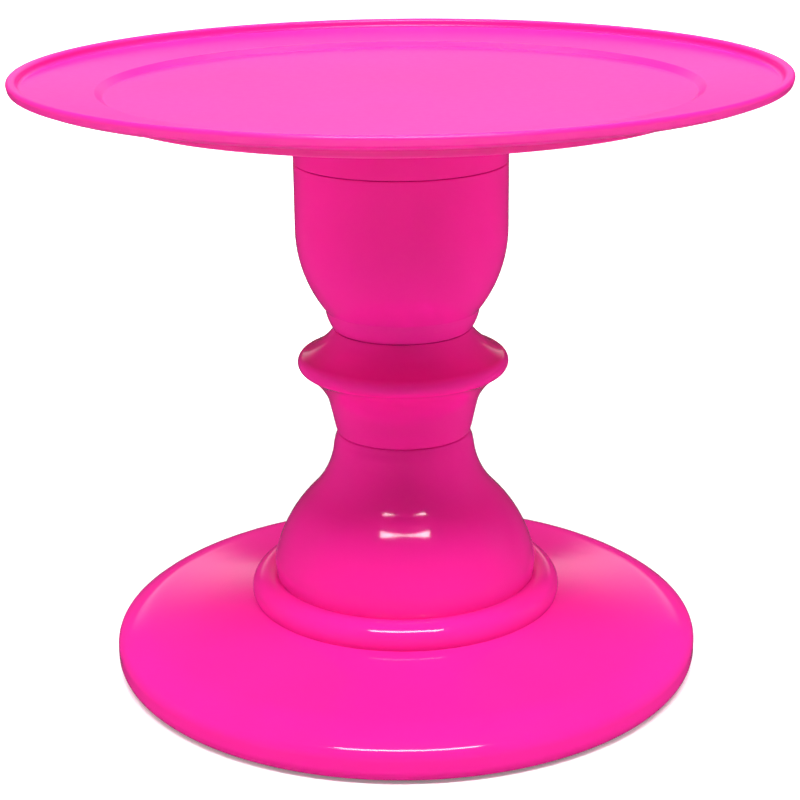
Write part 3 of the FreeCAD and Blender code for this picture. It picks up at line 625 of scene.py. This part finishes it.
def turned(name, section, material, steps=TURN_STEPS):
    """A piece of revolution. Its section is put clockwise first, so that the faces point outwards."""
    area = sum(a[0] * b[1] - b[0] * a[1] for a, b in zip(section, section[1:] + section[:1]))
    if area > 0:
        section = section[::-1]
    mesh = bpy.data.meshes.new(name)
    mesh.from_pydata([(r * MM, 0, z * MM) for r, z in section], [], [])
    return shaped(new_piece(name, mesh), TURNED, Steps=steps, Material=material)


def ring_of(piece, count, start, material):
    """Repeats a piece round the axis."""
    return shaped(piece, RING, Count=count, Start=math.radians(start), Material=material)


def upright_plate(name, corners, width, bevel=0.3):
    """A plate that runs out along +X, with softened edges."""
    mesh = bpy.data.meshes.new(name)
    made = bmesh.new()
    face = made.faces.new([made.verts.new((r * MM, -width / 2 * MM, z * MM)) for r, z in corners])
    pulled = bmesh.ops.extrude_face_region(made, geom=[face])
    for vertex in (v for v in pulled["geom"] if isinstance(v, bmesh.types.BMVert)):
        vertex.co.y += width * MM
    bmesh.ops.recalc_face_normals(made, faces=made.faces)
    bmesh.ops.bevel(made, geom=[e for e in made.edges if e.calc_face_angle(0) > BEVEL_ANGLE],
                    offset=bevel * MM, segments=2, profile=0.5, affect="EDGES", clamp_overlap=True)
    bmesh.ops.recalc_face_normals(made, faces=made.faces)
    made.to_mesh(mesh)
    made.free()
    return new_piece(name, mesh)


def pillar(name, section, out, roof=None):
    """A small turned pillar on a spot out along +X, cut off under a roof: a line of (r, z) points."""
    piece = turned(name, section, None, SMALL_TURN_STEPS)
    for vertex in piece.data.vertices:
        vertex.co.x += out * MM
        if roof:
            vertex.co.z = min(vertex.co.z, height_at(roof, math.hypot(vertex.co.x, vertex.co.y) / MM) * MM)
    return piece


def height_at(points, radius):
    """Height of a line of points at a radius."""
    for a, b in zip(points, points[1:]):
        if min(a[0], b[0]) <= radius <= max(a[0], b[0]) and a[0] != b[0]:
            return a[1] + (b[1] - a[1]) * (radius - a[0]) / (b[0] - a[0])
    return points[-1][1]


# ---- materials -----------------------------------------------------------------------------------------------
def linear(code):
    """An sRGB hex colour as linear RGBA."""
    values = [int(code[i:i + 2], 16) / 255 for i in (1, 3, 5)]
    return [v / 12.92 if v <= 0.04045 else ((v + 0.055) / 1.055) ** 2.4 for v in values] + [1.0]


def emptied(owner):
    """The node tree of a material or a world, with nothing in it."""
    owner.use_nodes = True
    owner.node_tree.nodes.clear()
    return owner.node_tree


def new_material(name):
    """A material, its empty tree, and the place on its piece that its patterns follow."""
    material = bpy.data.materials.new(name)
    tree = emptied(material)
    return material, tree, node(tree, "ShaderNodeTexCoord").outputs["Object"]


def finished(material, tree, inputs):
    """Ends a material with its shader, whose inputs are patterns or even values."""
    shader = node(tree, "ShaderNodeBsdfPrincipled", inputs)
    node(tree, "ShaderNodeOutputMaterial", {"Surface": shader.outputs[0]})
    return material


def per_metre(size_mm):
    """Pattern scale for features of a size in millimetres."""
    return 1 / (size_mm * MM)


def polystyrene(name, rough):
    """Injection-moulded polystyrene. A gloss, with the slow ripple that cooling leaves in it."""
    material, tree, place = new_material(name)
    tint = node(tree, "ShaderNodeTexNoise", {"Vector": place, "Scale": per_metre(45), "Detail": 1.0})
    colour = node(tree, "ShaderNodeMix", {0: tint.outputs["Fac"], 6: linear("#E6208F"), 7: linear("#EC2397")},
                  data_type="RGBA")
    grain = node(tree, "ShaderNodeTexNoise", {"Vector": place, "Scale": per_metre(2.5), "Detail": 3.0})
    gloss = node(tree, "ShaderNodeMapRange",
                 {"Value": grain.outputs["Fac"], "To Min": rough[0], "To Max": rough[1]})
    ripple = node(tree, "ShaderNodeTexNoise", {"Vector": place, "Scale": per_metre(9), "Detail": 1.5})
    slow = node(tree, "ShaderNodeBump",
                {"Height": ripple.outputs["Fac"], "Strength": 1.0, "Distance": 0.03 * MM})
    fine = node(tree, "ShaderNodeBump", {
        "Height": grain.outputs["Fac"], "Normal": slow.outputs[0], "Strength": 1.0, "Distance": 0.002 * MM})
    return finished(material, tree, {
        "Base Color": colour.outputs[2], "Roughness": gloss.outputs[0], "Normal": fine.outputs[0],
        "IOR": 1.55})


def nylon():
    """Moulded natural nylon: off-white, waxy sheen, faintly mottled."""
    material, tree, place = new_material("moulded_natural_nylon")
    mottle = node(tree, "ShaderNodeTexNoise", {"Vector": place, "Scale": per_metre(6), "Detail": 3.0})
    colour = node(tree, "ShaderNodeMix",
                  {0: mottle.outputs["Fac"], 6: linear("#E3E0D6"), 7: linear("#EFEDE6")}, data_type="RGBA")
    gloss = node(tree, "ShaderNodeMapRange", {"Value": mottle.outputs["Fac"], "To Min": 0.32, "To Max": 0.5})
    skin = node(tree, "ShaderNodeTexNoise", {"Vector": place, "Scale": per_metre(0.8), "Detail": 2.0})
    bump = node(tree, "ShaderNodeBump",
                {"Height": skin.outputs["Fac"], "Strength": 1.0, "Distance": 0.01 * MM})
    return finished(material, tree, {
        "Base Color": colour.outputs[2], "Roughness": gloss.outputs[0], "Normal": bump.outputs[0],
        "IOR": 1.53, "Subsurface Weight": 0.15, "Subsurface Scale": 1.0 * MM})


def rings_of(tree, place, spacing_mm):
    """Concentric tool marks round the Z axis, as a height from 0 to 1."""
    parts = node(tree, "ShaderNodeSeparateXYZ", {0: place}).outputs
    flat = node(tree, "ShaderNodeCombineXYZ", {"X": parts["X"], "Y": parts["Y"]}).outputs[0]
    radius = node(tree, "ShaderNodeVectorMath", {0: flat}, operation="LENGTH").outputs["Value"]
    climb = node(tree, "ShaderNodeMath", {0: radius, 1: parts["Z"]}, operation="ADD").outputs[0]
    phase = node(tree, "ShaderNodeMath", {0: climb, 1: math.tau * per_metre(spacing_mm)},
                 operation="MULTIPLY")
    wave = node(tree, "ShaderNodeMath", {0: phase.outputs[0]}, operation="SINE").outputs[0]
    return node(tree, "ShaderNodeMapRange", {"Value": wave, "From Min": -1.0}).outputs[0]


def acetal():
    """Turned acetal rod: milky white, silky, with faint tool rings."""
    material, tree, place = new_material("turned_acetal")
    rings = rings_of(tree, place, 0.25)
    cloud = node(tree, "ShaderNodeTexNoise", {"Vector": place, "Scale": per_metre(5), "Detail": 2.0})
    colour = node(tree, "ShaderNodeMix",
                  {0: cloud.outputs["Fac"], 6: linear("#EDEDE8"), 7: linear("#F5F5F2")}, data_type="RGBA")
    gloss = node(tree, "ShaderNodeMapRange", {"Value": cloud.outputs["Fac"], "To Min": 0.28, "To Max": 0.4})
    bump = node(tree, "ShaderNodeBump", {"Height": rings, "Strength": 1.0, "Distance": 0.004 * MM})
    return finished(material, tree, {
        "Base Color": colour.outputs[2], "Roughness": gloss.outputs[0], "Normal": bump.outputs[0],
        "IOR": 1.48})


def metal(name, dark, light, rough, spacing_mm, depth_mm, patch_mm):
    """A steel finish: two tones in patches, a range of roughness, and tool rings."""
    material, tree, place = new_material(name)
    patch = node(tree, "ShaderNodeTexNoise", {"Vector": place, "Scale": per_metre(patch_mm), "Detail": 4.0})
    colour = node(tree, "ShaderNodeMix", {0: patch.outputs["Fac"], 6: linear(dark), 7: linear(light)},
                  data_type="RGBA")
    gloss = node(tree, "ShaderNodeMapRange",
                 {"Value": patch.outputs["Fac"], "To Min": rough[0], "To Max": rough[1]})
    bump = node(tree, "ShaderNodeBump",
                {"Height": rings_of(tree, place, spacing_mm), "Strength": 1.0, "Distance": depth_mm * MM})
    return finished(material, tree, {
        "Base Color": colour.outputs[2], "Roughness": gloss.outputs[0], "Normal": bump.outputs[0],
        "Metallic": 1.0})


def rubber():
    """Moulded black rubber: matte, with a fine bloom and a pebbled skin."""
    material, tree, place = new_material("moulded_black_rubber")
    bloom = node(tree, "ShaderNodeTexNoise", {"Vector": place, "Scale": per_metre(4), "Detail": 4.0})
    colour = node(tree, "ShaderNodeMix",
                  {0: bloom.outputs["Fac"], 6: linear("#1B1B1C"), 7: linear("#2C2B2B")}, data_type="RGBA")
    pebble = node(tree, "ShaderNodeTexVoronoi", {"Vector": place, "Scale": per_metre(0.7)})
    bump = node(tree, "ShaderNodeBump",
                {"Height": pebble.outputs["Distance"], "Strength": 1.0, "Distance": 0.03 * MM})
    return finished(material, tree, {
        "Base Color": colour.outputs[2], "Normal": bump.outputs[0], "Roughness": 0.72, "IOR": 1.52})


TURNED = turned_section_tree()
RING = ring_pattern_tree()
ROD = threaded_rod_tree()

# The column and base come from a polished tool, the plate from a satin one, so that knives don't mark it.
PINK = polystyrene("moulded_pink_polystyrene", (0.07, 0.11))
SATIN_PINK = polystyrene("satin_pink_polystyrene", (0.28, 0.34))
FINISHES = {
    "pink_plastic": PINK,
    "white_nylon": nylon(),
    "acetal": acetal(),
    # Ground and hardened bearing steel: bright and nearly mirror-like, with hair-fine grinding rings.
    "bearing_steel": metal("ground_bearing_steel", "#C6C9CC", "#D6D8DA", (0.06, 0.14), 0.2, 0.0005, 3),
    # Turned free-cutting steel: grey, with the tool's feed rings.
    "turned_steel": metal("turned_steel", "#A9ABAE", "#BFC1C3", (0.2, 0.32), 0.3, 0.003, 4),
    # Zinc plate on steel: pale blue-grey, cloudy gloss.
    "zinc_steel": metal("zinc_plated_steel", "#B4B9BE", "#CDD0D2", (0.22, 0.42), 0.5, 0.0005, 1.5),
    "foot_rubber": rubber(),
}
for part in frame["record"]["subparts"]:
    for material_slot in frame["nodes"][part["node"]].material_slots:
        material_slot.material = FINISHES[part["material_slot"]]


# ---- pieces --------------------------------------------------------------------------------------------------
def stands_for(piece, body, finish, *nodes):
    """Puts a finished piece on its body, in place of CAD nodes."""
    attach(piece, body)
    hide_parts(*nodes)


stands_for(turned("base", base_section(), PINK), "stand", "pink_plastic", "base_shell")
stands_for(turned("knob", knob_section(), PINK), "stand", "pink_plastic", "knob_module")
stands_for(turned("cup", cup_section(), PINK), "stand", "pink_plastic", "cup_module")
stands_for(turned("collar", collar_section(), PINK), "plate_unit", "pink_plastic", "plate_collar")
stands_for(turned("plate_dish", plate_section(), SATIN_PINK), "plate_unit", "pink_plastic", "plate")

# Six ribs under the flare, from the rod's tube out into the wall.
RIB_FOOT_Z = RIM_Z + 8.5
RIB_TOP_Z = RIM_Z + 34.0
TUBE = 8.0
NUT_ROOM = 15.0             # the ribs stop this far out below the washer
into_wall = between(outline(inset(base_side(cored=True)[1:], BASE_WALL * 0.6)), RIB_FOOT_Z, RIB_TOP_Z)
base_rib = upright_plate("base_ribs", [(NUT_ROOM, RIB_FOOT_Z)] + into_wall + [
    (TUBE, RIB_TOP_Z), (TUBE, WASHER_TOP_Z), (NUT_ROOM, WASHER_TOP_Z)], 2.4)
stands_for(ring_of(base_rib, 6, 30, PINK), "stand", "pink_plastic", "base_shell")

# A boss over each foot, with a pocket that the foot sits in.
FOOT_RADIUS = 7.2
FOOT_CIRCLE = reach("rubber_feet") - FOOT_RADIUS
POCKET_RADIUS = 7.4
POCKET_TOP_Z = 4.0
FOOT_BOSS_RADIUS = 9.2
FOOT_BOSS_Z = RIM_Z + 0.7
FOOT_BOSS_TOP_Z = 30.0      # before it is cut off under the flare
flare_middle = outline(inset(base_side(cored=True)[2:4], BASE_WALL * 0.4))
foot_boss = pillar("foot_bosses", outline(rounded([
    (0, POCKET_TOP_Z), (POCKET_RADIUS, POCKET_TOP_Z), (POCKET_RADIUS, FOOT_BOSS_Z),
    (FOOT_BOSS_RADIUS, FOOT_BOSS_Z, 0.4), (FOOT_BOSS_RADIUS, FOOT_BOSS_TOP_Z), (0, FOOT_BOSS_TOP_Z)]))[:-1],
    FOOT_CIRCLE, flare_middle)
stands_for(ring_of(foot_boss, 6, 0, PINK), "stand", "pink_plastic", "base_shell")

# Under the plate: ribs outside the collar, and screw bosses with gussets inside it, all rooted in the floor.
ROOT_Z = FLOOR_UNDER_Z + 1.0
RIB_START = CUP_RADIUS + 1.0
RIB_END = RING_RIB - 1.2
RIB_EDGE_Z = FLOOR_UNDER_Z - 1.6
SCREW_BOSS_RADIUS = 4.2
SCREW_BOSS_GAP = 0.6        # between a boss and the collar's wall
SCREW_CIRCLE = CUP_RADIUS - MODULE_WALL - SCREW_BOSS_GAP - SCREW_BOSS_RADIUS
GUSSET_START = 10.0
GUSSET_END = SCREW_CIRCLE - 3.2
plate_rib = upright_plate("plate_ribs", [
    (RIB_START, RIB_EDGE_Z), (RIB_END, RIB_EDGE_Z), (RIB_END, ROOT_Z), (RIB_START, ROOT_Z)], 2.0)
stands_for(ring_of(plate_rib, 12, 0, PINK), "plate_unit", "pink_plastic", "plate")
plate_boss = pillar("plate_bosses", outline(rounded([
    (0, WEB_TOP_Z), (SCREW_BOSS_RADIUS, WEB_TOP_Z, 0.3), (SCREW_BOSS_RADIUS, ROOT_Z), (0, ROOT_Z)]))[:-1],
    SCREW_CIRCLE)
stands_for(ring_of(plate_boss, 6, 0, PINK), "plate_unit", "pink_plastic", "plate")
plate_gusset = upright_plate("plate_gussets", [
    (GUSSET_START, WEB_TOP_Z), (GUSSET_END, WEB_TOP_Z), (GUSSET_END, ROOT_Z), (GUSSET_START, ROOT_Z)], 2.0)
stands_for(ring_of(plate_gusset, 6, 0, PINK), "plate_unit", "pink_plastic", "plate")

# M8 rod, thread pitch 1.25 mm, rolled along its whole length.
ROD_PITCH = 1.25
ROWS_PER_PITCH = 6
END_ROWS = 3                # one at each end to close it, and one to end the last pitch
rod_foot, rod_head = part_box("tie_rod")
rod = new_piece("threaded_tie_rod", bpy.data.meshes.new("threaded_tie_rod"))
rod_rows = round((high("tie_rod") - low("tie_rod")) / ROD_PITCH * ROWS_PER_PITCH) + END_ROWS
shaped(rod, ROD, Steps=24, Rows=rod_rows, Radius=rod_head.x, Low=rod_foot.z, High=rod_head.z,
       Pitch=ROD_PITCH * MM, Bevel=0.8 * MM, Material=FINISHES["zinc_steel"], **{"Thread Depth": 0.6 * MM})
stands_for(rod, "stand", "zinc_steel", "tie_rod")


# ---- floor, light and camera ---------------------------------------------------------------------------------
FLOOR_HALF = 12.0
ROOM_LIGHT = 0.18           # even light from the walls, where 1 is white


def seen_directly(tree):
    """1 for camera, glossy and transmission rays, and 0 for the light that falls on things."""
    rays = node(tree, "ShaderNodeLightPath").outputs
    pair = node(tree, "ShaderNodeMath", {0: rays["Is Camera Ray"], 1: rays["Is Glossy Ray"]},
                operation="MAXIMUM")
    return node(tree, "ShaderNodeMath", {0: pair.outputs[0], 1: rays["Is Transmission Ray"]},
                operation="MAXIMUM").outputs[0]


def floor_paper():
    """Matte white paper, which also glows for camera and reflection rays: a painted light, faint near the stand
    and full far off. From below it is clear, so that the underside can be looked at.
    """
    material, tree, place = new_material("white_paper_floor")
    seen = seen_directly(tree)
    colour = node(tree, "ShaderNodeMix", {0: seen, 6: linear("#E2E2E2"), 7: linear("#F0F0F0")},
                  data_type="RGBA")
    paper = node(tree, "ShaderNodeBsdfDiffuse", {"Color": colour.outputs[2]})
    # Painted light: faint near the stand, so that the object's shadow stays, and full far off, so that the far
    # floor reads white.
    away = node(tree, "ShaderNodeVectorMath", {0: place}, operation="LENGTH").outputs["Value"]
    far = node(tree, "ShaderNodeMapRange",
               {"Value": away, "From Min": 0.3, "From Max": 1.5, "To Min": 0.2, "To Max": 1.0})
    lift = node(tree, "ShaderNodeMath", {0: seen, 1: far.outputs[0]}, operation="MULTIPLY")
    glow = node(tree, "ShaderNodeEmission", {"Strength": lift.outputs[0]})
    both = node(tree, "ShaderNodeAddShader", {0: paper.outputs[0], 1: glow.outputs[0]})
    clear = node(tree, "ShaderNodeBsdfTransparent")
    back = node(tree, "ShaderNodeNewGeometry").outputs["Backfacing"]
    mixed = node(tree, "ShaderNodeMixShader", {0: back, 1: both.outputs[0], 2: clear.outputs[0]})
    node(tree, "ShaderNodeOutputMaterial", {"Surface": mixed.outputs[0]})
    return material


floor_mesh = bpy.data.meshes.new("floor")
floor_mesh.from_pydata([(-FLOOR_HALF, -FLOOR_HALF, 0), (FLOOR_HALF, -FLOOR_HALF, 0),
                        (FLOOR_HALF, FLOOR_HALF, 0), (-FLOOR_HALF, FLOOR_HALF, 0)], [], [(0, 1, 2, 3)])
floor_mesh.materials.append(floor_paper())
new_piece("floor", floor_mesh)

world = bpy.data.worlds.new("studio")
bpy.context.scene.world = world
sky = emptied(world)
wall = node(sky, "ShaderNodeMix", {0: seen_directly(sky), 6: [ROOM_LIGHT] * 3 + [1.0], 7: [1.0] * 4},
            data_type="RGBA")
background = node(sky, "ShaderNodeBackground", {"Color": wall.outputs[2]})
node(sky, "ShaderNodeOutputWorld", {"Surface": background.outputs[0]})
world.cycles_visibility.glossy = False      # the card dome below takes its place in reflections

STAND_MIDDLE = Vector((0, 0, 0.1))


def soft_panel(name, size, azimuth, elevation, distance, power, in_gloss=False):
    """A flat soft light with an even face, aimed at the stand. Azimuth 0 is the front, power is in W/m2."""
    light = bpy.data.lights.new(name, "AREA")
    light.shape = "RECTANGLE"
    light.size, light.size_y = size
    light.energy = power * size[0] * size[1]
    lamp = bpy.data.objects.new(name, light)
    bpy.context.scene.collection.objects.link(lamp)
    turn = (Matrix.Rotation(math.radians(azimuth), 4, "Z")
            @ Matrix.Rotation(math.radians(90 - elevation), 4, "X"))
    lamp.matrix_world = Matrix.Translation(STAND_MIDDLE) @ turn @ Matrix.Translation((0, 0, distance))
    lamp.visible_camera = False
    lamp.visible_glossy = in_gloss


# The key light stands high in front. The plate shades the column from it, and the bell and flare catch it.
soft_panel("key_panel", (1.6, 0.36), 0, 60.5, 2.2, 50.0, in_gloss=True)
# The other panels are left out of reflections, so that the gloss stays deep.
soft_panel("key_fill", (1.4, 0.38), 0, 60, 2.25, 76.0)
soft_panel("back_fill", (1.4, 0.8), 180, 60, 2.2, 40.0)
soft_panel("left_fill", (0.9, 0.9), -100, 14, 2.2, 20.0)
soft_panel("right_fill", (0.9, 0.9), 100, 14, 2.2, 20.0)

# A dome and floor ring that only reflections see, as studio flags are used, so that the gloss stays deep. They
# glow, faintly all over and brightly in a band low down behind: the plate's sheen is a painted reflection of
# that band, which lights nothing.
FLAG_RADIUS = 6.0
FLAG_BORE = 0.02
FLAG_LIFT = 0.0004          # off the floor
flag_rings = [(FLAG_BORE, FLAG_LIFT), (FLAG_RADIUS, FLAG_LIFT)] + [
    on_round((0, 0), FLAG_RADIUS, t) for t in range(1, 90, 8)]
flag_turns = [math.radians(t) for t in range(0, 370, 10)]
flag_faces = []
for ring in range(len(flag_rings) - 1):
    for column in range(len(flag_turns) - 1):
        corner = ring * len(flag_turns) + column
        above = corner + len(flag_turns)
        flag_faces.append((corner, corner + 1, above + 1, above))
flag_mesh = bpy.data.meshes.new("grey_flag")
flag_mesh.from_pydata(
    [(r * math.cos(a), r * math.sin(a), z) for r, z in flag_rings for a in flag_turns], [], flag_faces)


def flag_card():
    """Card that glows and is seen only in reflections: faint all over, with a bright band low down behind whose
    reflection is the plate's painted sheen.
    """
    material, tree, place = new_material("reflection_only_glow_card")
    way = node(tree, "ShaderNodeVectorMath", {0: place}, operation="NORMALIZE").outputs[0]
    way = node(tree, "ShaderNodeSeparateXYZ", {0: way}).outputs
    behind = node(tree, "ShaderNodeMapRange", {"Value": way["Y"], "From Min": 0.8, "From Max": 0.95},
                  interpolation_type="SMOOTHSTEP")
    risen = node(tree, "ShaderNodeMapRange", {"Value": way["Z"], "From Min": 0.17, "From Max": 0.24},
                 interpolation_type="SMOOTHSTEP")
    faded = node(tree, "ShaderNodeMapRange",
                 {"Value": way["Z"], "From Min": 0.14, "From Max": 0.45, "To Min": 1.05, "To Max": 0.1},
                 interpolation_type="SMOOTHSTEP")
    band = node(tree, "ShaderNodeMath", {0: risen.outputs[0], 1: faded.outputs[0]}, operation="MULTIPLY")
    pale = node(tree, "ShaderNodeMath", {0: band.outputs[0], 1: behind.outputs[0]}, operation="MULTIPLY")
    grey = node(tree, "ShaderNodeMath", {0: pale.outputs[0], 1: 0.05}, operation="ADD")
    # The card's painted glow: the band behind, and a faint even glow everywhere else.
    card = node(tree, "ShaderNodeEmission", {"Strength": grey.outputs[0]})
    node(tree, "ShaderNodeOutputMaterial", {"Surface": card.outputs[0]})
    return material


flag_mesh.materials.append(flag_card())
flag = new_piece("grey_flag", flag_mesh)
flag.visible_camera = False
flag.visible_diffuse = False
flag.visible_transmission = False
flag.visible_shadow = False

CAMERA_PLACE = (-0.00143, -0.74115, 0.35295)
CAMERA_DIP = 18.17          # degrees that it looks down
CAMERA_ROLL = -0.65
camera_data = bpy.data.cameras.new("camera")
camera_data.lens = 86.13
camera = bpy.data.objects.new("camera", camera_data)
bpy.context.scene.collection.objects.link(camera)
camera.matrix_world = (Matrix.Translation(CAMERA_PLACE)
                       @ Matrix.Rotation(math.radians(90 - CAMERA_DIP), 4, "X")
                       @ Matrix.Rotation(math.radians(CAMERA_ROLL), 4, "Z"))
bpy.context.scene.camera = camera
bpy.context.scene.view_settings.view_transform = "Standard"
